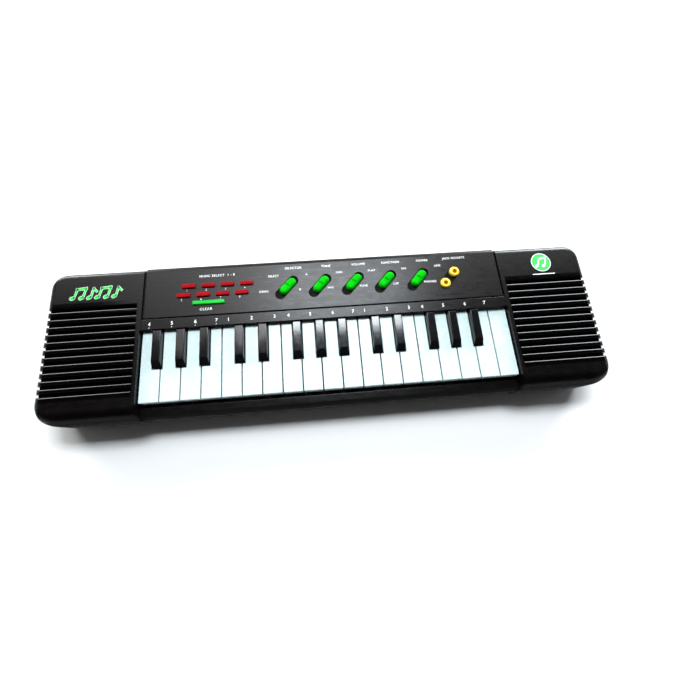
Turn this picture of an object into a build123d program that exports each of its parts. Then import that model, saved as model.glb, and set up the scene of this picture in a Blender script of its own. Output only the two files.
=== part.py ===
from build123d import *
import os
from math import cos, radians, sin, sqrt

os.makedirs("parts", exist_ok=True)

# Millimetres. X runs along the keys, Y from the player to the back, Z up from the table.
# The origin is on the table, under the middle of the case.

# ---- Case
case_length = 427.4
case_front = -59.2
case_back = 58.5
case_top = 35.0
parting_z = 16.0
foot_height = 1.5
wall = 2.2
front_corner = 17.0
back_corner = 12.0
top_edge = 5.0
front_round = 9.5
round_spread = 10.0
bottom_edge = 6.0
middle_recess = 0.5

# ---- Keys
key_pitch = 15.0
key_gap = 1.0
white_notes = "FGABCDEFGABCDEFGABC"
sharp_shift = {"F": -2.5, "G": 0.0, "A": 2.5, "C": -1.4, "D": 1.4}
white_front = -47.6
white_top = 31.0
white_bottom = 24.0
white_lip_z = 22.5
key_skin = 1.5
black_front = -22.3
black_back = 6.2
black_top = 35.0
black_bottom = 26.0
black_width = 7.3
black_top_width = 6.3
black_slope_run = 5.0
black_clearance = 0.45
black_front_clearance = 0.9
arm_back = 8.0
pivot_y = 13.0
pivot_z = 21.0
rod_radius = 1.0
rod_clearance = 0.05
tongue_width = 5.0
tongue_radius = 3.0
white_contact_y = -12.0
black_contact_y = -2.0
white_peg_z = 19.4
black_peg_z = 18.8

# ---- Key window, front rail and note strip
window_half = 142.8
window_front = -49.9
rail_front = case_front + middle_recess
rail_top = 25.0
rail_round = 3.5
rail_back_round = 0.9
strip_front = 6.8
strip_back = 15.5
strip_edge = 0.5
lip_z = 31.3

# ---- Speaker grilles
groove_count = 12
groove_pitch = 5.85
groove_first_y = 27.2
groove_inner = 146.0
groove_floor_z = 31.2
groove_width = 2.3
groove_side_depth = 1.5
groove_rise = 0.05
groove_taper = 0.4
groove_side_z = 19.0
rib_round = 1.5
grille_roof_z = 30.0
grille_side = 4.6
speaker_x = 178.0
speaker_y = -5.0
speaker_radius = 28.0
cone_reach = 23.0

# ---- Control panel
panel_half = 141.7
panel_front = 16.0
panel_back = 59.2
panel_sheet = 2.2
panel_under = case_top - panel_sheet
panel_skirt_z = 22.0
panel_round = 4.2
panel_corner = 1.8
skirt_inner = 57.3
seam_half = 142.3
slot_angle = 47.0
slot_pitch = 26.3
slot_first_x = -30.2
knob_y = 35.8
knob_count = 5
slot_length = 23.6
slot_width = 8.4
slot_depth = 1.4
slot_shift = -1.25
knob_length = 16.0
knob_width = 7.0
knob_travel = 4.6
knob_top = 37.4
knob_round = 2.4
button_top = 36.6
button_travel = 1.0
song_size = (10.2, 3.3)
song_pitch = 14.9
song_rows = ((-107.2, 40.6), (-111.0, 33.0))
clear_size = (24.4, 3.2)
clear_place = (-91.7, 26.2)
button_margin = 0.2
jack_spread = 12.9
jack_radius = 4.1
jack_barrel = 3.6
jack_bore = 1.8
jack_depth = 14.0
board_top = 26.5
board_sheet = 1.6
board_x = (-122.0, 86.0)
board_y = (22.0, 46.5)
board_posts = ((-118, 26), (-118, 43), (82, 26), (82, 43), (-52, 26))
switch_top = 28.2
switch_can = 4.3
flange_top = panel_under - 0.2
panel_gap = 0.1
knob_low = case_top - slot_depth + 0.3
stem_length = 3.0
stem_width = 2.4
stem_low = 30.0
magnet_low = 10.0

# ---- Key contacts
contact_half = 141.0
contact_y = (-20.0, 5.0)
contact_top = 15.8
rubber_sheet = 0.8
dome_height = 0.8

# ---- Battery bay, in the floor behind the keys
bay_half = 54.0
bay_front = 19.0
bay_back = 53.4
bay_wall = 1.6
bay_ceiling = 19.4
cell_radius = 7.1
cell_length = 49.0
cell_nose = 1.3
cell_nose_radius = 2.75
cell_gap = 0.05
contact_sheet = 0.4
cell_rows = (28.0, 44.4)
cell_z = 11.2
door_half = 51.8
door_front = 19.6
door_sheet = 1.8
door_lip_z = 12.5
door_gap = 0.3
tongue_reach = 1.4
groove_z = (2.0, 3.2)

# ---- Screws
end_screws = ((-198, -40), (198, -40), (-198, 42), (198, 42))
back_screws = ((-112, 52.9), (112, 52.9))
screw_places = end_screws + back_screws
post_radius = 3.8
screw_radius = 1.45
screw_gap = 0.05
screw_head_radius = 2.8
screw_length = 18.5
screw_recess_z = 6.5
screw_grip = 9.5

# ---- Feet, key rod saddles and board pillars
foot_x = 165.0
foot_y = 38.0
foot_radius = 6.0
saddle_width = 1.4
saddle_top = pivot_z + 3
saddle_boundaries = (4, 7, 11, 14, 18)
rod_half = 143.9
contact_board_z = 14.2
contact_post_x = (-130, -60, 0, 60, 130)
contact_post_y = (-15, 1)

STANDING = (Align.CENTER, Align.CENTER, Align.MIN)

slot_direction = Vector(cos(radians(slot_angle)), sin(radians(slot_angle)), 0)


def save(piece, name):
    """Labels a finished piece and writes it to its own STEP file."""
    piece.part.label = name
    export_step(piece.part, f"parts/{name}.step")


def boundary_x(index):
    """X of the line between white key index and the one before it."""
    return (index - len(white_notes) / 2) * key_pitch


saddle_places = [boundary_x(index) for index in saddle_boundaries]
saddle_places += [-rod_half + saddle_width / 2, rod_half - saddle_width / 2]


def sharp_places():
    """The black keys as (boundary index, X of the centre), from left to right."""
    places = []
    for index, note in enumerate(white_notes[:-1]):
        if note in sharp_shift:
            places.append((index + 1, boundary_x(index + 1) + sharp_shift[note]))
    return places


def plan_outline(inset, wider=0.0, back=case_back):
    """Draws the case's outline in the current sketch, drawn in by inset and wider at the ends."""
    front = case_front + inset
    rear = back - inset
    with Locations((0, (front + rear) / 2)):
        Rectangle(case_length + 2 * wider - 2 * inset, rear - front)


def upper_form(inset, low_z):
    """The upper case's solid form, drawn in by inset: small side and back edges, a deep front round."""
    # A wider form carries the deep round, so that it fades out around the front corners.
    with BuildPart() as deep_round:
        with BuildSketch(Plane.XY.offset(low_z - 1)) as wide_plan:
            plan_outline(inset, round_spread, case_back + 3 * round_spread)
            fillet(wide_plan.vertices(), front_corner + round_spread - inset)
        extrude(amount=case_top - inset - low_z + 1)
        fillet(deep_round.faces().sort_by(Axis.Z)[-1].edges(), front_round - inset)
    with BuildPart() as form:
        with BuildSketch(Plane.XY.offset(low_z)) as plan:
            plan_outline(inset)
            fillet(plan.vertices().group_by(Axis.Y)[0], front_corner - inset)
            fillet(plan.vertices().group_by(Axis.Y)[-1], back_corner - inset)
        extrude(amount=case_top - inset - low_z)
        fillet(form.faces().sort_by(Axis.Z)[-1].edges(), top_edge - inset)
        add(deep_round.part, mode=Mode.INTERSECT)
    return form.part


def tray_form(inset):
    """The lower case's solid form, drawn in by inset, with its rounded bottom edge."""
    with BuildPart() as form:
        with BuildSketch(Plane.XY.offset(foot_height + inset)) as plan:
            plan_outline(inset)
            fillet(plan.vertices().group_by(Axis.Y)[0], front_corner - inset)
            fillet(plan.vertices().group_by(Axis.Y)[-1], back_corner - inset)
        extrude(amount=parting_z - foot_height - inset)
        fillet(form.faces().sort_by(Axis.Z)[0].edges(), bottom_edge - inset)
    return form.part


def block(x0, x1, y0, y1, z0, z1, mode=Mode.ADD):
    """A box between two corners."""
    with Locations(((x0 + x1) / 2, (y0 + y1) / 2, (z0 + z1) / 2)):
        Box(x1 - x0, y1 - y0, z1 - z0, mode=mode)


def groove_profile(plane, depth):
    """A groove's section: across it along the plane's x, and out of the surface along the plane's y."""
    half = groove_width / 2
    lip_low = groove_rise - rib_round
    with BuildSketch(plane) as profile:
        with BuildLine():
            Line((-half + groove_taper, -depth), (half - groove_taper, -depth))
            Line((half - groove_taper, -depth), (half, lip_low))
            RadiusArc((half, lip_low), (half + rib_round, groove_rise), rib_round)
            Line((half + rib_round, groove_rise), (half + rib_round, 2))
            Line((half + rib_round, 2), (-half - rib_round, 2))
            Line((-half - rib_round, 2), (-half - rib_round, groove_rise))
            RadiusArc((-half - rib_round, groove_rise), (-half, lip_low), rib_round)
            Line((-half, lip_low), (-half + groove_taper, -depth))
        make_face()
    return profile.sketch


# ------------------------------------------------------------------ upper case
upper_outer = upper_form(0, parting_z)
upper_inner = upper_form(wall, parting_z)

with BuildPart() as grille_roof:
    add(upper_form(1.0, parting_z))
    block(groove_inner - 1.2, case_length, -43, 32, parting_z, case_top, Mode.INTERSECT)
    # Thick over the speaker and, lower down, only along the outer side.
    block(0, case_length / 2 - grille_side, -44, 33, parting_z - 1, grille_roof_z, Mode.SUBTRACT)
    mirror(about=Plane.YZ)

with BuildPart() as top_case:
    add(upper_outer)
    add(upper_inner, mode=Mode.SUBTRACT)
    # The grille's roof is thicker, to hold the grooves.
    add(grille_roof.part)
    # The bay between the two end blocks, open from the front to the note strip.
    block(-window_half, window_half, case_front - 1, strip_front, parting_z - 1, case_top + 1, Mode.SUBTRACT)
    # The control panel's seat, with the back wall left standing behind it.
    block(-seam_half, seam_half, strip_front, case_back + 1, panel_under, case_top + 1, Mode.SUBTRACT)
    # A shallow step in the back wall, which the panel's skirt lies in.
    block(-seam_half, seam_half, skirt_inner - panel_gap, case_back + 1, panel_skirt_z - 0.3, case_top,
          Mode.SUBTRACT)
    # Inner side walls of the end blocks.
    for side in (-1, 1):
        near = side * window_half
        far = side * (window_half + wall)
        block(min(near, far), max(near, far), case_front, strip_front + 1.6, parting_z, case_top)
        block(min(near, far), max(near, far), strip_front, strip_back + 1, saddle_top + 1, case_top)
    # The deep front round takes its slice off those walls too.
    add(upper_outer, mode=Mode.INTERSECT)
    # The front rail, an upturned channel with a rounded front edge.
    with BuildSketch(Plane.YZ.offset(-window_half)) as rail_profile:
        with BuildLine():
            Polyline(
                (rail_front, parting_z),
                (rail_front, rail_top),
                (window_front, rail_top),
                (window_front, rail_top - 7),
                (window_front - 1.5, rail_top - 7),
                (window_front - 1.5, rail_top - wall),
                (rail_front + 1.6, rail_top - wall),
                (rail_front + 1.6, parting_z),
                close=True,
            )
        make_face()
        fillet(rail_profile.vertices().group_by(Axis.Y)[-1].sort_by(Axis.X)[0], rail_round)
        fillet(rail_profile.vertices().group_by(Axis.Y)[-1].sort_by(Axis.X)[-1], rail_back_round)
    extrude(amount=2 * window_half)
    # The note strip bridges the blocks: a front lip, a flat top and a ledge under the panel.
    with BuildSketch(Plane.YZ.offset(-window_half)) as strip_profile:
        with BuildLine():
            Polyline(
                (strip_front, lip_z),
                (strip_front, case_top),
                (strip_back, case_top),
                (strip_back, panel_under),
                (strip_back + 4, panel_under),
                (strip_back + 4, panel_under - 1.6),
                (strip_front + 1.6, panel_under - 1.6),
                (strip_front + 1.6, lip_z),
                close=True,
            )
        make_face()
        fillet(strip_profile.vertices().group_by(Axis.Y)[-1], strip_edge)
    extrude(amount=2 * window_half)
    # Seam lines at the ends of the note strip, in line with the panel's ends.
    for side in (-1, 1):
        seam_x = side * (panel_half + 0.3)
        block(seam_x - 0.25, seam_x + 0.25, strip_front - 1, strip_back + 1, case_top - 0.5, case_top + 1,
              Mode.SUBTRACT)
    # Side ledges under the panel's ends.
    for side in (-1, 1):
        ledge_x = side * (seam_half - 0.6)
        block(ledge_x - 2.2, ledge_x + 2.2, strip_back, case_back - wall, panel_under - 1.6, panel_under)
    # Screw posts that hang from the roof and meet the lower case at the parting plane.
    with Locations([(x, y, parting_z) for x, y in end_screws]):
        Cylinder(post_radius, panel_under + 0.6 - parting_z, align=STANDING)
    with Locations([(x, y, parting_z) for x, y in back_screws]):
        Cylinder(post_radius, panel_under - 1.6 - parting_z, align=STANDING)
    # Grille grooves, with rounded lips so that the ribs between them are round-shouldered bars.
    for k in range(groove_count):
        groove_y = groove_first_y - k * groove_pitch
        top_start = Plane((groove_inner, groove_y, case_top), x_dir=(0, 1, 0), z_dir=(1, 0, 0))
        top_profile = groove_profile(top_start, case_top - groove_floor_z)
        groove = extrude(top_profile, amount=case_length / 2 - groove_inner + 2, mode=Mode.SUBTRACT)
        mirror(groove, about=Plane.YZ, mode=Mode.SUBTRACT)
        # Each groove runs on down the outer side wall.
        side_start = Plane((case_length / 2, groove_y, case_top), x_dir=(0, 1, 0), z_dir=(0, 0, -1))
        side_profile = groove_profile(side_start, groove_side_depth)
        groove = extrude(side_profile, amount=case_top - groove_side_z, mode=Mode.SUBTRACT)
        mirror(groove, about=Plane.YZ, mode=Mode.SUBTRACT)
        # The sound slot in the groove's floor, as far as the speaker's cone reaches.
        away = abs(groove_y - speaker_y)
        if away < cone_reach:
            sound_half = sqrt(cone_reach ** 2 - away ** 2)
            for side in (-1, 1):
                block(side * speaker_x - sound_half, side * speaker_x + sound_half, groove_y - 0.6,
                      groove_y + 0.6, grille_roof_z - 1, groove_floor_z + 0.5, Mode.SUBTRACT)
    with Locations([(x, y, parting_z) for x, y in screw_places]):
        Cylinder(screw_radius + screw_gap, screw_grip + 1, align=STANDING, mode=Mode.SUBTRACT)
save(top_case, "top_case")

# ------------------------------------------------------------------ lower case
with BuildPart() as bottom_case:
    add(tray_form(0))
    add(tray_form(wall), mode=Mode.SUBTRACT)
    block(-window_half, window_half, case_front - 1, rail_front, 0, parting_z + 1, Mode.SUBTRACT)
    with Locations([(x, y, 0) for x in (-foot_x, foot_x) for y in (-foot_y, foot_y)]):
        Cylinder(foot_radius, foot_height + 1, align=STANDING)
    # Posts for the screws, each with a recess for the head from below.
    with Locations([(x, y, foot_height + 1) for x, y in screw_places]):
        Cylinder(post_radius + 0.6, parting_z - foot_height - 1, align=STANDING)
    with Locations([(x, y, 0) for x, y in screw_places]):
        Cylinder(screw_head_radius + 0.4, screw_recess_z, align=STANDING, mode=Mode.SUBTRACT)
        Cylinder(screw_radius + screw_gap, parting_z + 1, align=STANDING, mode=Mode.SUBTRACT)
    # The battery bay, a closed box over an opening in the floor and the back wall.
    block(-bay_half - bay_wall, bay_half + bay_wall, bay_front - bay_wall, bay_back + bay_wall,
          foot_height + 0.5, bay_ceiling + bay_wall)
    block(-bay_half, bay_half, bay_front, bay_back, foot_height + wall, bay_ceiling, Mode.SUBTRACT)
    opening = door_half + door_gap
    block(-opening, opening, door_front - door_gap, bay_back, 0, foot_height + wall + 1, Mode.SUBTRACT)
    block(-opening, opening, bay_back - 1, case_back + 1, 0, door_lip_z + door_gap, Mode.SUBTRACT)
    # The bay's back wall comes down again behind the batteries.
    block(-bay_half, bay_half, bay_back, bay_back + bay_wall, foot_height + wall + 0.2, bay_ceiling)
    # Grooves in the opening's side edges for the door's tongues.
    for side in (-1, 1):
        groove_x = side * (door_half + tongue_reach / 2)
        half_reach = tongue_reach / 2 + door_gap
        block(groove_x - half_reach, groove_x + half_reach, door_front - door_gap, case_back + 1,
              *groove_z, Mode.SUBTRACT)
    # Saddles that carry the key rod.
    for x in saddle_places:
        block(x - saddle_width / 2, x + saddle_width / 2, pivot_y - 4, pivot_y + 4, foot_height + 1, saddle_top)
    with Locations(Plane.YZ.offset(-rod_half)):
        with Locations((pivot_y, pivot_z)):
            Cylinder(rod_radius, 2 * rod_half, align=STANDING, mode=Mode.SUBTRACT)
    # Pillars under the two circuit boards.
    with Locations([(x, y, foot_height + 1) for x in contact_post_x for y in contact_post_y]):
        Cylinder(2.5, contact_board_z - foot_height - 1, align=STANDING)
save(bottom_case, "bottom_case")

# ------------------------------------------------------------------ battery door
with BuildPart() as battery_door:
    add(tray_form(0))
    block(-door_half, door_half, door_front, case_back + 1, 0, door_lip_z, Mode.INTERSECT)
    block(-case_length, case_length, 0, case_back - wall, foot_height + door_sheet, case_top, Mode.SUBTRACT)
    for side in (-1, 1):
        tongue_x = side * (door_half + tongue_reach / 2)
        block(tongue_x - tongue_reach / 2, tongue_x + tongue_reach / 2, door_front + 0.5, case_back - 8,
              groove_z[0] + 0.2, groove_z[1] - 0.2)
    # Thumb ridges across the back of the door.
    for k in range(5):
        ridge_y = case_back - 9.5 - 2.4 * k
        block(-9, 9, ridge_y - 0.45, ridge_y + 0.45, foot_height - 0.5, foot_height + 0.5)
save(battery_door, "battery_door")

# ------------------------------------------------------------------ batteries and their contacts
plate_face = bay_half - contact_sheet
with BuildPart() as batteries:
    # Two cells in a row, nose to tail, and the two rows point opposite ways.
    for row_y, heading in zip(cell_rows, (1, -1)):
        for place in (1, 2):
            tail = plate_face - place * (cell_length + cell_nose + cell_gap)
            with Locations(Plane(origin=(heading * tail, row_y, cell_z), z_dir=(heading, 0, 0))):
                Cylinder(cell_radius, cell_length, align=STANDING)
                Cylinder(cell_nose_radius, cell_length + cell_nose, align=STANDING)
    rims = batteries.edges().filter_by(GeomType.CIRCLE).filter_by(lambda e: e.radius > cell_nose_radius + 1)
    fillet(rims, 0.5)
save(batteries, "batteries")

spring_length = 2 * plate_face - 2 * (cell_length + cell_nose + cell_gap) - cell_gap
with BuildPart() as battery_contacts:
    for row_y, heading in zip(cell_rows, (1, -1)):
        for side in (-1, 1):
            plate_x = side * (bay_half - contact_sheet / 2)
            block(plate_x - contact_sheet / 2, plate_x + contact_sheet / 2, row_y - 5, row_y + 5, 6, 16.5)
        # The spring fills the rest of the row, and has the outer shape of its cone of wire.
        with Locations(Plane(origin=(-heading * plate_face, row_y, cell_z), z_dir=(heading, 0, 0))):
            Cone(4.4, 2.6, spring_length, align=STANDING)
save(battery_contacts, "battery_contacts")

# ------------------------------------------------------------------ case screws
with BuildPart() as case_screws:
    with BuildSketch(Plane.XZ):
        with BuildLine():
            Polyline(
                (0, screw_recess_z - 2.2),
                (screw_head_radius, screw_recess_z - 2.2),
                (screw_head_radius, screw_recess_z),
                (screw_radius, screw_recess_z),
                (screw_radius, screw_recess_z + screw_length - 2),
                (0, screw_recess_z + screw_length),
                close=True,
            )
        make_face()
    screw = revolve(axis=Axis.Z, mode=Mode.PRIVATE)
    with Locations([(x, y, 0) for x, y in screw_places]):
        add(screw)
    for x, y in screw_places:
        for turn in (0, 90):
            with Locations(Location((x, y, screw_recess_z - 2.2), (0, 0, turn))):
                Box(3.2, 0.7, 2.0, mode=Mode.SUBTRACT)
save(case_screws, "case_screws")

# ------------------------------------------------------------------ control panel
def slot_centre(index):
    """Centre of slanted recess number index, which the knob rests near the top of."""
    return Vector(slot_first_x + index * slot_pitch, knob_y, 0) + slot_direction * slot_shift


def button_places():
    """Centres of the eight song buttons, the upper row first."""
    return [(x0 + k * song_pitch, y0) for x0, y0 in song_rows for k in range(4)]


def jack_places():
    """Centres of the two jacks, at the ends of the last recess."""
    middle = slot_centre(knob_count)
    return [middle + slot_direction * (side * jack_spread / 2) for side in (-1, 1)]


with BuildPart() as control_panel:
    # Sheet and back skirt in one bent profile, rounded where it turns down over the back edge.
    with BuildSketch(Plane.YZ.offset(-panel_half)) as panel_profile:
        with BuildLine():
            Polyline(
                (panel_front, panel_under),
                (panel_front, case_top),
                (panel_back, case_top),
                (panel_back, panel_skirt_z),
                (skirt_inner, panel_skirt_z),
                (skirt_inner, panel_under),
                close=True,
            )
        make_face()
        corners = panel_profile.vertices().group_by(Axis.Y)[-1].sort_by(Axis.X)
        fillet(corners[-1], panel_round)
        fillet(panel_profile.vertices().group_by(Axis.Y)[-1].sort_by(Axis.X)[0], strip_edge)
    extrude(amount=2 * panel_half)
    fillet(control_panel.edges().filter_by(Axis.Z).group_by(Axis.Y)[-1], panel_corner)
    # Posts underneath hold the main board.
    with Locations([(x, y, board_top) for x, y in board_posts]):
        Cylinder(2.4, panel_under - board_top + 0.5, align=STANDING)
    # Six slanted recesses in a row.
    for k in range(knob_count + 1):
        with BuildSketch(Plane.XY.offset(case_top - slot_depth)):
            with Locations(Location(slot_centre(k), (0, 0, slot_angle))):
                SlotOverall(slot_length, slot_width)
        extrude(amount=slot_depth + 1, mode=Mode.SUBTRACT)
    # A slit in each knob's recess for its stem, and two round holes for the jacks.
    for k in range(knob_count):
        slit_middle = Vector(slot_first_x + k * slot_pitch, knob_y, 0) - slot_direction * (knob_travel / 2)
        with BuildSketch(Plane.XY.offset(panel_under - 1)):
            with Locations(Location(slit_middle, (0, 0, slot_angle))):
                Rectangle(stem_length + knob_travel + 0.8, stem_width + 0.8)
        extrude(amount=panel_sheet + 1, mode=Mode.SUBTRACT)
    with Locations([(spot.X, spot.Y, panel_under - 1) for spot in jack_places()]):
        Cylinder(jack_barrel + 0.1, panel_sheet + 1, align=STANDING, mode=Mode.SUBTRACT)
    # Button openings.
    with BuildSketch(Plane.XY.offset(panel_under - 1)):
        with Locations(button_places()):
            RectangleRounded(song_size[0] + 2 * button_margin, song_size[1] + 2 * button_margin, 0.9)
        with Locations(clear_place):
            RectangleRounded(clear_size[0] + 2 * button_margin, clear_size[1] + 2 * button_margin, 0.9)
    extrude(amount=panel_sheet + 2, mode=Mode.SUBTRACT)
save(control_panel, "control_panel")

# ------------------------------------------------------------------ push buttons
def push_button(width, depth, x, y):
    """A cap that stands out of the panel, with a flange under it and a plunger down to its switch."""
    with BuildPart() as button:
        with BuildSketch(Plane.XY.offset(flange_top - 1)):
            with Locations((x, y)):
                RectangleRounded(width, depth, 0.8)
        extrude(amount=button_top - flange_top + 1)
        fillet(button.faces().sort_by(Axis.Z)[-1].edges(), 0.6)
        block(x - width / 2 - 1, x + width / 2 + 1, y - depth / 2 - 0.9, y + depth / 2 + 0.9,
              flange_top - 1.5, flange_top)
        with Locations((x, y, switch_top + button_travel + 0.1)):
            Cylinder(1.5, flange_top - switch_top - button_travel - 0.5, align=STANDING)
    return button


for number, (x, y) in enumerate(button_places(), start=1):
    save(push_button(*song_size, x, y), f"song_button_{number}")
save(push_button(*clear_size, *clear_place), "clear_button")

# ------------------------------------------------------------------ slide knobs
knob_names = ("select_knob", "tone_knob", "volume_knob", "function_knob", "power_knob")
for k, name in enumerate(knob_names):
    base = Plane(origin=(slot_first_x + k * slot_pitch, knob_y, 0), x_dir=slot_direction, z_dir=(0, 0, 1))
    with BuildPart() as knob:
        with BuildSketch(base.offset(knob_low)):
            SlotOverall(knob_length, knob_width)
        extrude(amount=knob_top - knob_low)
        fillet(knob.faces().sort_by(Axis.Z)[-1].edges(), knob_round)
        # A finger groove across the middle.
        with Locations(base.offset(knob_top + 0.2)):
            with Locations(Location((0, 0, 0), (90, 0, 0))):
                Cylinder(0.9, knob_width + 2, mode=Mode.SUBTRACT)
        with BuildSketch(base.offset(stem_low)):
            Rectangle(stem_length, stem_width)
        extrude(amount=knob_low - stem_low + 0.5)
    save(knob, name)

# ------------------------------------------------------------------ jack sockets
with BuildPart() as jack_sockets:
    with Locations([(spot.X, spot.Y, 0) for spot in jack_places()]):
        with Locations((0, 0, case_top - slot_depth)):
            Cylinder(jack_radius, button_top - case_top + slot_depth, align=STANDING)
        with Locations((0, 0, button_top - jack_depth - 1.6)):
            Cylinder(jack_barrel, jack_depth - 1, align=STANDING)
    rims = jack_sockets.edges().filter_by(GeomType.CIRCLE).group_by(Axis.Z)[-1]
    fillet(rims, 1.1)
    with Locations([(spot.X, spot.Y, button_top - jack_depth) for spot in jack_places()]):
        Cylinder(jack_bore, jack_depth + 1, align=STANDING, mode=Mode.SUBTRACT)
save(jack_sockets, "jack_sockets")

# ------------------------------------------------------------------ main board and slide switches
with BuildPart() as main_board:
    block(board_x[0], board_x[1], board_y[0], board_y[1], board_top - board_sheet, board_top)
    # Tact switches under the push buttons.
    for x, y in button_places() + [clear_place]:
        block(x - 2.2, x + 2.2, y - 2.2, y + 2.2, board_top, switch_top)
    # The sound chip's potting, two capacitors and the speakers' plug.
    with Locations((-49, 38, board_top)):
        Cylinder(6, 1.4, align=STANDING)
    with Locations([(-20, 43, board_top), (-12, 43, board_top)]):
        Cylinder(2, 4.5, align=STANDING)
    block(2, 12, 40, 44.5, board_top, board_top + 4)
save(main_board, "main_board")

with BuildPart() as slide_switches:
    for k in range(knob_count):
        middle = Vector(slot_first_x + k * slot_pitch, knob_y, 0) - slot_direction * (knob_travel / 2)
        base = Plane(origin=middle, x_dir=slot_direction, z_dir=(0, 0, 1))
        with BuildSketch(base.offset(board_top)):
            Rectangle(15, 6)
        extrude(amount=switch_can)
        # The well that the knob's stem reaches into.
        with BuildSketch(base.offset(stem_low - 0.3)):
            Rectangle(stem_length + knob_travel + 0.6, stem_width + 0.6)
        extrude(amount=switch_can, mode=Mode.SUBTRACT)
save(slide_switches, "slide_switches")

# ------------------------------------------------------------------ speakers
with BuildPart() as speakers:
    for side in (-1, 1):
        with BuildSketch(Plane(origin=(side * speaker_x, speaker_y, 0), x_dir=(1, 0, 0), z_dir=(0, -1, 0))):
            with BuildLine():
                Polyline(
                    (0, magnet_low),
                    (14, magnet_low),
                    (14, magnet_low + 7),
                    (12, magnet_low + 7),
                    (25, grille_roof_z - 2.6),
                    (speaker_radius, grille_roof_z - 2.6),
                    (speaker_radius, grille_roof_z),
                    (25.5, grille_roof_z),
                    (24.5, grille_roof_z - 1.5),
                    (9, grille_roof_z - 9),
                    (6, grille_roof_z - 6.5),
                    (0, grille_roof_z - 5.5),
                    close=True,
                )
            make_face()
        revolve(axis=Axis((side * speaker_x, speaker_y, 0), (0, 0, 1)))
save(speakers, "speakers")

# ------------------------------------------------------------------ key contacts
with BuildPart() as key_contact_board:
    block(-contact_half, contact_half, contact_y[0], contact_y[1], contact_board_z, contact_top)
save(key_contact_board, "key_contact_board")


def arm_span(index):
    """Left and right X of the narrow rear arm of white key index, between its black neighbours."""
    left = boundary_x(index) + key_gap / 2
    right = boundary_x(index + 1) - key_gap / 2
    for boundary, x in sharp_places():
        if boundary == index:
            left = x + black_width / 2 + black_clearance
        if boundary == index + 1:
            right = x - black_width / 2 - black_clearance
    return left, right


with BuildPart() as key_contact_rubber:
    block(-contact_half, contact_half, contact_y[0] + 3, contact_y[1] - 2, contact_top,
          contact_top + rubber_sheet)
    # One dome under each key's peg.
    domes = [(sum(arm_span(index)) / 2, white_contact_y) for index in range(len(white_notes))]
    domes += [(x, black_contact_y) for boundary, x in sharp_places()]
    with Locations([(x, y, contact_top + rubber_sheet) for x, y in domes]):
        Cone(2.6, 1.8, dome_height, align=STANDING)
save(key_contact_rubber, "key_contact_rubber")

# ------------------------------------------------------------------ key rod
with BuildPart() as key_rod:
    with Locations(Plane(origin=(-rod_half, pivot_y, pivot_z), z_dir=(1, 0, 0))):
        Cylinder(rod_radius, 2 * rod_half, align=STANDING)
save(key_rod, "key_rod")


# ------------------------------------------------------------------ keys
def key_tongue(x, width, y0, top):
    """The web at the back of a key, which ends in a round eye on the key rod."""
    with BuildSketch(Plane.YZ.offset(x - width / 2)) as side_view:
        with Locations(((y0 + pivot_y) / 2, (top + pivot_z - tongue_radius) / 2)):
            Rectangle(pivot_y - y0, top - pivot_z + tongue_radius)
        with Locations((pivot_y, pivot_z)):
            Circle(tongue_radius)
        Polygon((pivot_y, top), (pivot_y + tongue_radius, pivot_z), (pivot_y, pivot_z), align=None)
        with Locations((pivot_y, pivot_z)):
            Circle(rod_radius + rod_clearance, mode=Mode.SUBTRACT)
    extrude(side_view.sketch, amount=width)


for index in range(len(white_notes)):
    left = boundary_x(index) + key_gap / 2
    right = boundary_x(index + 1) - key_gap / 2
    arm_left, arm_right = arm_span(index)
    notch_y = black_front - black_front_clearance
    arm_x = (arm_left + arm_right) / 2
    corners = [(left, white_front), (right, white_front), (right, notch_y), (arm_right, notch_y),
               (arm_right, arm_back), (arm_left, arm_back), (arm_left, notch_y), (left, notch_y)]
    outline = [corner for spot, corner in enumerate(corners) if corner != corners[spot - 1]]
    with BuildPart() as white_key:
        with BuildSketch(Plane.XY.offset(white_bottom)) as key_plan:
            Polygon(*outline, align=None)
        extrude(amount=white_top - white_bottom)
        top_edges = white_key.faces().sort_by(Axis.Z)[-1].edges()
        fillet(top_edges.sort_by(Axis.Y)[0], 0.9)
        fillet(white_key.faces().sort_by(Axis.Z)[-1].edges().filter_by(Axis.Y), 0.3)
        # Hollow from below, with a skirt all round and a deeper lip in front.
        with BuildSketch(Plane.XY.offset(white_bottom)):
            add(key_plan.sketch)
            offset(amount=-key_skin)
        extrude(amount=white_top - key_skin - white_bottom, mode=Mode.SUBTRACT)
        block(left, right, white_front, white_front + key_skin, white_lip_z, white_bottom + 1)
        block(arm_x - 1.5, arm_x + 1.5, white_contact_y - 1.5, white_contact_y + 1.5, white_peg_z,
              white_top - 1)
        key_tongue(arm_x, tongue_width, arm_back - 4, white_top - 0.6)
    save(white_key, f"white_key_{index + 1:02d}")

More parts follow.
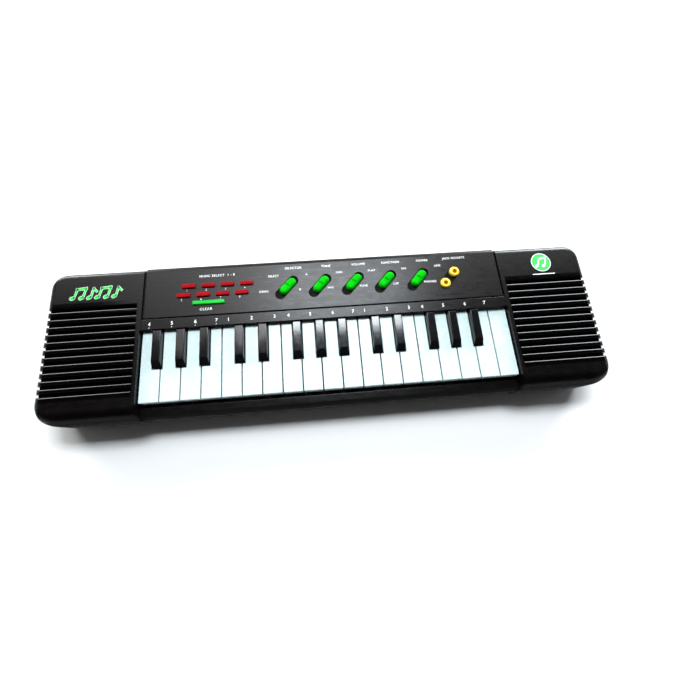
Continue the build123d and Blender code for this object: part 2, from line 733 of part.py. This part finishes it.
for number, (boundary, x) in enumerate(sharp_places(), start=1):
    half = black_width / 2
    half_top = black_top_width / 2
    with BuildPart() as black_key:
        # The side view, with its sloping front, then the sides leant in above the white keys.
        with BuildSketch(Plane.YZ.offset(x - half)):
            with BuildLine():
                Polyline(
                    (black_front, black_bottom),
                    (black_front, white_top),
                    (black_front + black_slope_run, black_top),
                    (black_back, black_top),
                    (black_back, black_bottom),
                    close=True,
                )
            make_face()
        extrude(amount=black_width)
        with BuildSketch(Plane.XZ.offset(-black_back - 1)):
            with BuildLine():
                Polyline(
                    (x - half, black_bottom - 1),
                    (x - half, white_top - 0.5),
                    (x - half_top, black_top + 0.01),
                    (x + half_top, black_top + 0.01),
                    (x + half, white_top - 0.5),
                    (x + half, black_bottom - 1),
                    close=True,
                )
            make_face()
        extrude(amount=black_back - black_front + 2, mode=Mode.INTERSECT)
        fillet(black_key.faces().sort_by(Axis.Z)[-1].edges(), 0.6)
        block(x - half + key_skin, x + half - key_skin, black_front + key_skin, black_back - key_skin,
              black_bottom - 1, white_top, Mode.SUBTRACT)
        block(x - 1.2, x + 1.2, black_contact_y - 1.5, black_contact_y + 1.5, black_peg_z, white_top + 1)
        key_tongue(x, tongue_width - 1, black_back - 4, white_top - 1)
    save(black_key, f"black_key_{number:02d}")
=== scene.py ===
"""Looks for the toy electronic keyboard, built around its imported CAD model. Lengths are in metres."""
from math import cos, pi, radians, sin

import bpy
from mathutils import Matrix, Quaternion, Vector


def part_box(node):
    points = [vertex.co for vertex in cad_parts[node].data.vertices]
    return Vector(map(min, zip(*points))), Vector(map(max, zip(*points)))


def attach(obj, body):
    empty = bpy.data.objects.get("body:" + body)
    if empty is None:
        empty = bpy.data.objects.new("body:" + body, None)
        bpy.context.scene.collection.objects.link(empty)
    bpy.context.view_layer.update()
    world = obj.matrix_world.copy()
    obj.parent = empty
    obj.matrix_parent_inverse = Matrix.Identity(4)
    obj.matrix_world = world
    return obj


MM = 0.001

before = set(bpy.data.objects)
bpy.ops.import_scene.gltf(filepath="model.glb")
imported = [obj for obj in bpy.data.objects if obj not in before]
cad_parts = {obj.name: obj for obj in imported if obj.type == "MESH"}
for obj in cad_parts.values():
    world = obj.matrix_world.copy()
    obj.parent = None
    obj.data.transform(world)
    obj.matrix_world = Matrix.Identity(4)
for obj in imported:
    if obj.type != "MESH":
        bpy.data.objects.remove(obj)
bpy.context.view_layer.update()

# ---- Driving places, from the frame
panel_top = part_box("control_panel")[1].z
block_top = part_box("top_case")[1].z
knob_names = ("select_knob", "tone_knob", "volume_knob", "function_knob", "power_knob")
white_keys = sorted(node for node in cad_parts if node.startswith("white_key"))
black_keys = sorted(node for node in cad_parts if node.startswith("black_key"))
song_buttons = sorted(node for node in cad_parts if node.startswith("song_button"))

# ---- Screen print: its height over the surface, half its thickness, and the step between two inks
print_lift = 0.03 * MM
print_sheet = 0.02 * MM
ink_step = 0.03 * MM


def middle(node):
    """The middle of a CAD node's box."""
    low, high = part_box(node)
    return (low + high) / 2


# ------------------------------------------------------------------ materials
class Paint:
    """A node material on one Principled shader, built up by small calls."""

    def __init__(self, name, **sockets):
        self.material = bpy.data.materials.new(name)
        self.material.use_nodes = True
        self.tree = self.material.node_tree
        self.shader = self.tree.nodes["Principled BSDF"]
        self.place = self.tree.nodes.new("ShaderNodeTexCoord").outputs["Object"]
        for socket, value in sockets.items():
            self.shader.inputs[socket.replace("_", " ")].default_value = value

    def feed(self, target, value):
        """Set a socket to a value, or link it to another node's output."""
        if isinstance(value, bpy.types.NodeSocket):
            self.tree.links.new(value, target)
        else:
            target.default_value = value

    def node(self, kind, **inputs):
        """A new node; each keyword names one of its input sockets."""
        made = self.tree.nodes.new(kind)
        for socket, value in inputs.items():
            self.feed(made.inputs[socket.replace("_", " ")], value)
        return made

    def noise(self, size, detail=3.0, roughness=0.5, stretch=(1, 1, 1)):
        """Noise whose lumps are about size across, in metres."""
        scaled = self.node("ShaderNodeMapping", Vector=self.place, Scale=stretch)
        made = self.node("ShaderNodeTexNoise", Vector=scaled.outputs[0], Scale=1 / size, Detail=detail,
                         Roughness=roughness)
        return made.outputs["Fac"]

    def between(self, factor, low, high, start=0.3, end=0.7):
        """A value that runs from low to high as factor goes from start to end."""
        made = self.node("ShaderNodeMapRange", Value=factor, From_Min=start, From_Max=end, To_Min=low,
                         To_Max=high)
        return made.outputs[0]

    def blend(self, factor, first, second):
        """A colour between first and second; each is a colour or another node's output."""
        made = self.tree.nodes.new("ShaderNodeMix")
        made.data_type = "RGBA"
        self.feed(made.inputs["Factor"], factor)
        for socket, value in zip(made.inputs[6:8], (first, second)):
            self.feed(socket, value if isinstance(value, bpy.types.NodeSocket) else (*value, 1))
        return made.outputs[2]

    def math(self, operation, first, second=0.0):
        """The result of one arithmetic step."""
        made = self.tree.nodes.new("ShaderNodeMath")
        made.operation = operation
        self.feed(made.inputs[0], first)
        self.feed(made.inputs[1], second)
        return made.outputs[0]

    def clouds(self):
        """Soft clouds across a large moulding, from 0 to 1."""
        return self.between(self.noise(18 * MM, 4), 0, 1)

    def smears(self, low, high):
        """A value that varies in smears lying along X."""
        return self.between(self.noise(9 * MM, 5, 0.6, (1, 2.5, 1)), low, high)

    def colour(self, output):
        self.tree.links.new(output, self.shader.inputs["Base Color"])

    def roughness(self, output):
        self.tree.links.new(output, self.shader.inputs["Roughness"])

    def bump(self, height, depth, strength=0.5):
        """Bump from a height of 0 to 1 that stands for depth, in metres."""
        made = self.node("ShaderNodeBump", Height=height, Strength=strength, Distance=depth)
        self.tree.links.new(made.outputs[0], self.shader.inputs["Normal"])


def moulded(name, dark, light, rough, grain, depth):
    """Moulded plastic: a fine grain, faint clouds in its colour, and a gloss that varies a little."""
    paint = Paint(name)
    paint.colour(paint.blend(paint.clouds(), dark, light))
    paint.roughness(paint.smears(*rough))
    paint.bump(paint.math("ADD", paint.noise(grain, 2), paint.noise(0.5 * MM, 2)), depth, 0.6)
    return paint.material


def glossy(name, dark, light, rough, glow=0.0, specular=0.5):
    """Smooth plastic with soft clouds in its colour, a very faint waviness, and light let in by glow."""
    paint = Paint(name, Specular_IOR_Level=specular, Subsurface_Weight=glow, Subsurface_Scale=1.5 * MM,
                  Subsurface_Radius=(1.0, 0.6, 0.4))
    paint.colour(paint.blend(paint.between(paint.noise(7 * MM, 4), 0, 1), dark, light))
    paint.roughness(paint.between(paint.noise(3 * MM, 5, 0.6), *rough))
    paint.bump(paint.noise(4 * MM, 2), 0.02 * MM)
    return paint.material


def ink(name, dark, light):
    """Screen-printing ink, a little uneven."""
    paint = Paint(name)
    grain = paint.noise(0.25 * MM)
    paint.colour(paint.blend(paint.between(grain, 0, 1), dark, light))
    paint.roughness(paint.between(grain, 0.37, 0.53, 0.35, 0.65))
    paint.bump(grain, 0.01 * MM)
    return paint.material


def brushed(name, dark, light):
    """Bright metal with fine lines along X."""
    paint = Paint(name, Metallic=1.0)
    lines = paint.noise(0.4 * MM, stretch=(0.06, 1, 1))
    paint.colour(paint.blend(paint.between(lines, 0, 1), dark, light))
    paint.roughness(paint.between(lines, 0.22, 0.38, 0.35, 0.65))
    paint.bump(lines, 0.01 * MM)
    return paint.material


# ---- Gloss of the case and the panel, and the places where it changes
case_specular = 0.22
case_satin = (0.24, 0.31)
edge_blur = 1 * MM
grille_inner = 145 * MM
grille_middle_y = -5 * MM
grille_half = 37 * MM
bar_polish = 0.15
front_dull_y = -58.5 * MM
front_satin_y = -55 * MM
front_dullness = 0.65
recess_deep = -0.9 * MM
recess_shallow = -0.4 * MM
recess_dullness = 0.5


def case_plastic():
    """Black moulded plastic: satin on the faces, dull down the front, and polished along the grille bars."""
    paint = Paint("case_black", Specular_IOR_Level=case_specular)
    paint.colour(paint.blend(paint.clouds(), (0.0008, 0.0005, 0.0005), (0.0018, 0.0011, 0.0011)))
    axes = paint.node("ShaderNodeSeparateXYZ", Vector=paint.place)
    from_middle = paint.math("ABSOLUTE", axes.outputs["X"])
    from_grille = paint.math("ABSOLUTE", paint.math("SUBTRACT", axes.outputs["Y"], grille_middle_y))
    in_block = paint.between(from_middle, 0, 1, grille_inner, grille_inner + edge_blur)
    in_grille = paint.between(from_grille, 1, 0, grille_half, grille_half + edge_blur)
    bars = paint.math("MULTIPLY", in_block, in_grille)
    front = paint.between(axes.outputs["Y"], 1, 0, front_dull_y, front_satin_y)
    rough = paint.math("ADD", paint.smears(*case_satin), paint.math("MULTIPLY", front, front_dullness))
    paint.roughness(paint.math("SUBTRACT", rough, paint.math("MULTIPLY", bars, bar_polish)))
    paint.bump(paint.noise(0.35 * MM, 2), 0.012 * MM)
    return paint.material


def panel_plastic():
    """The panel's satin black, with faint lines along X, dull in the knobs' and jacks' recesses, and with
    painted shade there: the recess floors are coloured near black.
    """
    paint = Paint("panel_black", Specular_IOR_Level=case_specular)
    axes = paint.node("ShaderNodeSeparateXYZ", Vector=paint.place)
    depth = paint.math("SUBTRACT", axes.outputs["Z"], panel_top)
    recess_shade_and_dullness = paint.between(depth, 1, 0, recess_deep, recess_shallow)
    face = paint.blend(paint.clouds(), (0.0028, 0.0018, 0.0018), (0.0050, 0.0036, 0.0036))
    # Painted shade: below the panel's face the colour turns near black, standing in for the shadow in the
    # knob slots and jack recesses.
    paint.colour(paint.blend(recess_shade_and_dullness, face, (0.0008, 0.0006, 0.0006)))
    lines = paint.noise(0.7 * MM, 3, 0.6, (0.03, 1, 1))
    satin = paint.math("ADD", paint.smears(*case_satin), paint.between(lines, 0, 0.03, 0.35, 0.65))
    paint.roughness(paint.math("ADD", satin, paint.math("MULTIPLY", recess_shade_and_dullness, recess_dullness)))
    paint.bump(paint.math("ADD", paint.noise(0.3 * MM, 2), lines), 0.012 * MM, 0.6)
    return paint.material


case_black = case_plastic()
panel_black = panel_plastic()
base_black = moulded("base_black", (0.0060, 0.0055, 0.0056), (0.0110, 0.0098, 0.0098), (0.46, 0.58),
                     0.5 * MM, 0.05 * MM)
# Painted light: the white keys' red is held below their green and blue, a painted cast of the bluish window
# light on them.
key_white = glossy("key_white", (0.575, 0.71, 0.71), (0.625, 0.75, 0.75), (0.22, 0.32), glow=0.05)
key_black = glossy("key_black", (0.0035, 0.0035, 0.0042), (0.0060, 0.0060, 0.0070), (0.08, 0.13))
button_red = glossy("button_red", (0.24, 0.001, 0.004), (0.33, 0.002, 0.007), (0.32, 0.42), glow=0.1,
                    specular=0.03)
button_green = glossy("button_green", (0.004, 0.38, 0.028), (0.008, 0.48, 0.042), (0.2, 0.3), glow=0.1,
                      specular=0.12)
knob_green = glossy("knob_green", (0.001, 0.36, 0.003), (0.002, 0.48, 0.005), (0.50, 0.60), glow=0.05,
                    specular=0.02)
jack_yellow = glossy("jack_yellow", (0.82, 0.50, 0.03), (0.92, 0.62, 0.05), (0.16, 0.26), glow=0.05)
white_ink = ink("white_ink", (0.84, 0.86, 0.86), (0.92, 0.93, 0.93))
green_ink = ink("green_ink", (0.008, 0.50, 0.050), (0.012, 0.62, 0.070))
bright_steel = brushed("bright_steel", (0.50, 0.50, 0.52), (0.64, 0.64, 0.66))
board_brown = moulded("board_brown", (0.30, 0.15, 0.05), (0.36, 0.19, 0.07), (0.4, 0.5), 0.6 * MM,
                      0.02 * MM)
rubber_grey = moulded("rubber_grey", (0.42, 0.42, 0.42), (0.50, 0.50, 0.50), (0.7, 0.8), 0.5 * MM,
                      0.02 * MM)
speaker_black = moulded("speaker_black", (0.018, 0.018, 0.019), (0.030, 0.030, 0.031), (0.6, 0.75),
                        0.4 * MM, 0.04 * MM)
cell_jacket = glossy("cell_jacket", (0.020, 0.035, 0.075), (0.030, 0.050, 0.100), (0.25, 0.35))

node_paint = {
    "top_case": case_black, "bottom_case": base_black, "battery_door": base_black,
    "control_panel": panel_black, "jack_sockets": jack_yellow, "key_rod": bright_steel,
    "key_contact_board": board_brown, "main_board": board_brown, "key_contact_rubber": rubber_grey,
    "slide_switches": bright_steel, "speakers": speaker_black, "batteries": cell_jacket,
    "battery_contacts": bright_steel, "case_screws": bright_steel, "clear_button": button_green,
}
node_paint |= {node: key_white for node in white_keys}
node_paint |= {node: key_black for node in black_keys}
node_paint |= {node: button_red for node in song_buttons}
node_paint |= {node: knob_green for node in knob_names}
for node, material in node_paint.items():
    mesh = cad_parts[node].data
    mesh.materials.clear()
    mesh.materials.append(material)


# ------------------------------------------------------------------ printed legends
# ---- Heights of the capitals, in millimetres, and their share of the font's size
legend_height = 1.75
title_height = 1.9
capital_share = 0.70


def lettering(text, x, y, height=legend_height, spread=1.08, bold=0.02):
    """A thin mesh of a word lying on the panel, centred on (x, y). Lengths are in millimetres."""
    curve = bpy.data.curves.new("word", "FONT")
    curve.body = text
    curve.align_x = "CENTER"
    curve.align_y = "CENTER"
    curve.size = height * MM / capital_share
    curve.space_character = spread
    curve.offset = bold * MM
    curve.extrude = print_sheet
    curve.resolution_u = 3
    word = bpy.data.objects.new("word", curve)
    word.matrix_world = Matrix.Translation((x * MM, y * MM, panel_top + print_lift))
    bpy.context.scene.collection.objects.link(word)
    bpy.context.view_layer.update()
    mesh = bpy.data.meshes.new_from_object(word.evaluated_get(bpy.context.evaluated_depsgraph_get()))
    mesh.transform(word.matrix_world)
    bpy.data.objects.remove(word)
    return mesh


def piece(name, meshes, material):
    """One object made of several meshes, riding on the housing."""
    made = bpy.data.objects.new(name, bpy.data.meshes.new(name))
    vertices, faces = [], []
    for mesh in meshes:
        first = len(vertices)
        vertices += [tuple(vertex.co) for vertex in mesh.vertices]
        faces += [[first + index for index in polygon.vertices] for polygon in mesh.polygons]
    made.data.from_pydata(vertices, [], faces)
    made.data.materials.append(material)
    bpy.context.scene.collection.objects.link(made)
    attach(made, "housing")


# Every knob has a title over it, and one word beside each end of its slot. Places are in millimetres.
knob_x = [middle(name).x / MM for name in knob_names]
title_y = 51.4
upper_y = 45.2
lower_y = 32.3
title_shift = 4.8
upper_shift = -11.2
lower_shift = -19.0
letter_shift = -17.0
number_left = 1.6
number_drop = 3.5
number_height = 1.6
titles = ("SELECTOR", "TONE", "VOLUME", "FUNCTION", "POWER")
upper_words = ("SELECT", "A", "MAX", "PLAY", "ON")
lower_words = ("DEMO", "B", "MIN", "TUNE", "OFF")
words = []
for x, title, upper, lower in zip(knob_x, titles, upper_words, lower_words):
    words.append(lettering(title, x + title_shift, title_y, title_height))
    words.append(lettering(upper, x + upper_shift, upper_y))
    words.append(lettering(lower, x + (letter_shift if len(lower) == 1 else lower_shift), lower_y))

# The jacks stand one knob's pitch further on.
jack_x = knob_x[-1] + knob_x[1] - knob_x[0]
words.append(lettering("JACK SOCKETS", jack_x + 4.9, 52.0, 1.8))
words.append(lettering("LINE", jack_x - 9.5, 46.0))
words.append(lettering("PHONES", jack_x - 17.4, lower_y))

words.append(lettering("MUSIC SELECT  1 - 8", -85.7, 48.8, title_height, 1.15))
words.append(lettering("CLEAR", -93.8, 20.9, 2.1, 1.12))
for number, node in enumerate(song_buttons, start=1):
    spot = middle(node) / MM
    words.append(lettering(str(number), spot.x - number_left, spot.y - number_drop, number_height, 1.0))
piece("panel_print", words, white_ink)

# The digits on the strip behind the white keys stand beside the black keys; the lowest four have a dot.
strip_y = 11.2
digit_height = 2.7
digit_bold = 0.04
dot_drop = 1.9
dot_height = 2.6
dot_bold = 0.10
dotted_keys = white_keys[:4]
note_digits = "456712345671234567"
note_names = "FGABCDEFGABCDEFGAB"
note_shift = {"F": -0.8, "G": 1.0, "A": 3.5, "B": 4.3, "C": -1.6, "D": 1.0, "E": 3.5}
digits = []
for key, digit, note in zip(white_keys, note_digits, note_names):
    x = middle(key).x / MM + note_shift[note]
    digits.append(lettering(digit, x, strip_y, digit_height, 1.0, digit_bold))
    if key in dotted_keys:
        digits.append(lettering(".", x, strip_y - dot_drop, dot_height, 1.0, dot_bold))
piece("strip_print", digits, white_ink)


# ------------------------------------------------------------------ marks on the end blocks
disc_sides = 48

# ---- A note's proportions, as shares of its size; head_turn is in degrees
head_left = 0.17
head_drop = 0.45
head_wide = 0.23
head_tall = 0.16
head_turn = 24
stem_thick = 0.13
stem_drop = 0.42
pair_apart = 0.42
pair_lean = 0.22
pair_rise = 0.50
beam_low = 0.48
beam_high = 0.56
beam_thick = 0.20
single_lean = 0.20
single_rise = 0.52
flag_top = 0.50
flag_reach = 0.50
flag_low = 0.20


def outline(points, z):
    """A flat closed shape in the plane z as a thin mesh. Points are in millimetres."""
    low = z + print_lift - print_sheet
    count = len(points)
    corners = [(x * MM, y * MM, level) for level in (low, low + 2 * print_sheet) for x, y in points]
    faces = [list(range(count))[::-1], list(range(count, 2 * count))]
    faces += [[k, (k + 1) % count, count + (k + 1) % count, count + k] for k in range(count)]
    mesh = bpy.data.meshes.new("outline")
    mesh.from_pydata(corners, [], faces)
    return mesh


def disc(x, y, wide, tall, turn, z):
    """A filled ellipse, turned by an angle in degrees."""
    c, s = cos(radians(turn)), sin(radians(turn))
    around = [2 * pi * k / disc_sides for k in range(disc_sides)]
    return outline([(x + wide * cos(a) * c - tall * sin(a) * s, y + wide * cos(a) * s + tall * sin(a) * c)
                    for a in around], z)


def bar(x0, y0, x1, y1, thick, z):
    """A straight stroke from one point to another."""
    along = Vector((x1 - x0, y1 - y0)).normalized() * (thick / 2)
    side = Vector((-along.y, along.x))
    a, b = Vector((x0, y0)) - along, Vector((x1, y1)) + along
    return outline([tuple(a + side), tuple(a - side), tuple(b - side), tuple(b + side)], z)


def note_head(x, y, size, grow, z):
    """The slanted oval head of a note whose stem stands at x."""
    return disc(x - head_left * size, y - head_drop * size, head_wide * size + grow, head_tall * size + grow,
                head_turn, z)


def note_pair(x, y, size, grow, z):
    """Two joined quavers leaning to the right; grow fattens every stroke."""
    stem = stem_thick * size + 2 * grow
    shapes = []
    for start in (-pair_apart, pair_apart):
        foot_x = x + start * size
        shapes.append(note_head(foot_x, y, size, grow, z))
        shapes.append(bar(foot_x, y - stem_drop * size, foot_x + pair_lean * size, y + pair_rise * size,
                          stem, z))
    shapes.append(bar(x - (pair_apart - pair_lean) * size, y + beam_low * size,
                      x + (pair_apart + pair_lean) * size, y + beam_high * size,
                      beam_thick * size + 2 * grow, z))
    return shapes


def quaver(x, y, size, grow, z):
    """One quaver with a straight flag."""
    top_x = x + single_lean * size
    stem = stem_thick * size + 2 * grow
    return [
        note_head(x, y, size, grow, z),
        bar(x, y - stem_drop * size, top_x, y + single_rise * size, stem, z),
        bar(top_x, y + flag_top * size, x + flag_reach * size, y + flag_low * size, stem, z),
    ]


# A row of notes on the left block, green with a white edge.
row_y = 40.0
row_size = 7.8
edge_grow = 0.42
fill_grow = 0.22
edges, fills = [], []
for x, kind in ((-190.5, note_pair), (-181.3, quaver), (-172.0, note_pair), (-162.6, quaver)):
    edges += kind(x, row_y, row_size, edge_grow, block_top)
    fills += kind(x, row_y, row_size, fill_grow, block_top + ink_step)

# A disc with a white rim and white notes on the right block, and a line under it.
badge_x, badge_y = 179.0, 43.4
badge_rim = 8.2
badge_fill = 7.6
badge_notes = 7.0
badge_grow = 0.15
line_y = 32.9
line_reach = 9.0
line_thick = 0.7
edges.append(disc(badge_x, badge_y, badge_rim, badge_rim, 0, block_top))
edges += note_pair(badge_x, badge_y, badge_notes, badge_grow, block_top + 2 * ink_step)
edges.append(bar(badge_x - line_reach, line_y, badge_x + line_reach, line_y, line_thick, block_top))
fills.append(disc(badge_x, badge_y, badge_fill, badge_fill, 0, block_top + ink_step))
piece("block_mark_edge", edges, white_ink)
piece("block_mark_fill", fills, green_ink)

# ------------------------------------------------------------------ floor, light and camera
floor_reach = 3.0
floor_mesh = bpy.data.meshes.new("floor")
floor_signs = ((-1, -1), (1, -1), (1, 1), (-1, 1))
floor_mesh.from_pydata([(x * floor_reach, y * floor_reach, 0) for x, y in floor_signs], [], [(0, 1, 2, 3)])
floor = bpy.data.objects.new("floor", floor_mesh)
floor_paint = Paint("pale_floor", Roughness=0.8)
floor_paint.colour(floor_paint.blend(floor_paint.noise(0.2), (0.82, 0.82, 0.82), (0.86, 0.86, 0.86)))
floor_mesh.materials.append(floor_paint.material)
bpy.context.scene.collection.objects.link(floor)


def softbox(name, place, aim, width, depth, power, colour=(1, 1, 1), turn=0.0):
    """A rectangular area light at place, facing aim and turned in its own plane by an angle in degrees."""
    data = bpy.data.lights.new(name, "AREA")
    data.shape = "RECTANGLE"
    data.size = width
    data.size_y = depth
    data.energy = power
    data.color = colour
    light = bpy.data.objects.new(name, data)
    light.location = place
    facing = (Vector(aim) - Vector(place)).to_track_quat("-Z", "Y")
    light.rotation_euler = (facing @ Quaternion((0, 0, 1), radians(turn))).to_euler()
    bpy.context.scene.collection.objects.link(light)


# Window panes and a pale wall high behind the keyboard, low lights that catch the grille bars, and fills.
window_blue = (0.88, 0.95, 1.0)
softbox("window", (0.09, 0.56, 1.235), (0.02, 0.05, 0.03), 0.58, 0.33, 17, window_blue, 6)
softbox("window_side", (-0.30, 0.575, 1.235), (-0.05, 0.05, 0.03), 0.30, 0.39, 2.2)
softbox("window_far_side", (-0.62, 0.575, 1.235), (-0.1, 0.05, 0.03), 0.34, 0.39, 0.9)
softbox("wall_band", (0, 0.92, 1.235), (0, 0.05, 0.03), 3.0, 0.40, 12)
softbox("back_wall", (0, 1.9, 0.45), (0, 0, 0.05), 2.0, 0.6, 8)
softbox("back_left", (-1.6, 1.9, 0.75), (-0.1, 0, 0.03), 0.9, 0.9, 48)
softbox("back_right", (1.6, 1.9, 0.75), (0.1, 0, 0.03), 0.9, 0.9, 85, window_blue)
softbox("left_fill", (-2.2, 0.4, 0.9), (0, 0, 0), 1.0, 1.0, 4)
softbox("right_fill", (2.3, 0.4, 0.9), (0, 0, 0), 1.0, 1.0, 6)

# A sky that is bright at the horizon and dark overhead.
world = bpy.data.worlds.new("studio")
world.use_nodes = True
sky = world.node_tree
height = sky.nodes.new("ShaderNodeSeparateXYZ")
sky.links.new(sky.nodes.new("ShaderNodeTexCoord").outputs["Generated"], height.inputs[0])
fade = sky.nodes.new("ShaderNodeMapRange")
sky.links.new(height.outputs["Z"], fade.inputs["Value"])
for socket, value in (("From Min", 0.10), ("From Max", 0.40), ("To Min", 0.45), ("To Max", 0.02)):
    fade.inputs[socket].default_value = value
sky.links.new(fade.outputs[0], sky.nodes["Background"].inputs["Strength"])
sky.nodes["Background"].inputs["Color"].default_value = (1, 1, 1, 1)
bpy.context.scene.world = world

# The photograph's camera: where it stands, its sideways axis and the way it looks.
camera_data = bpy.data.cameras.new("camera")
camera_data.sensor_width = 36.0
camera_data.lens = 18.89
camera_data.clip_start = 0.01
camera = bpy.data.objects.new("camera", camera_data)
camera_place = Vector((-7.32, -86.57, 295.47)) * MM
camera_right = Vector((0.99611, -0.08208, 0.03220)).normalized()
camera_back = -Vector((0.05383, 0.27687, -0.95940)).normalized()
turned = Matrix((camera_right, camera_back.cross(camera_right), camera_back)).transposed().to_4x4()
camera.matrix_world = Matrix.Translation(camera_place) @ turned
bpy.context.scene.collection.objects.link(camera)
bpy.context.scene.camera = camera

bpy.context.scene.view_settings.view_transform = "Standard"

bpy.context.view_layer.update()
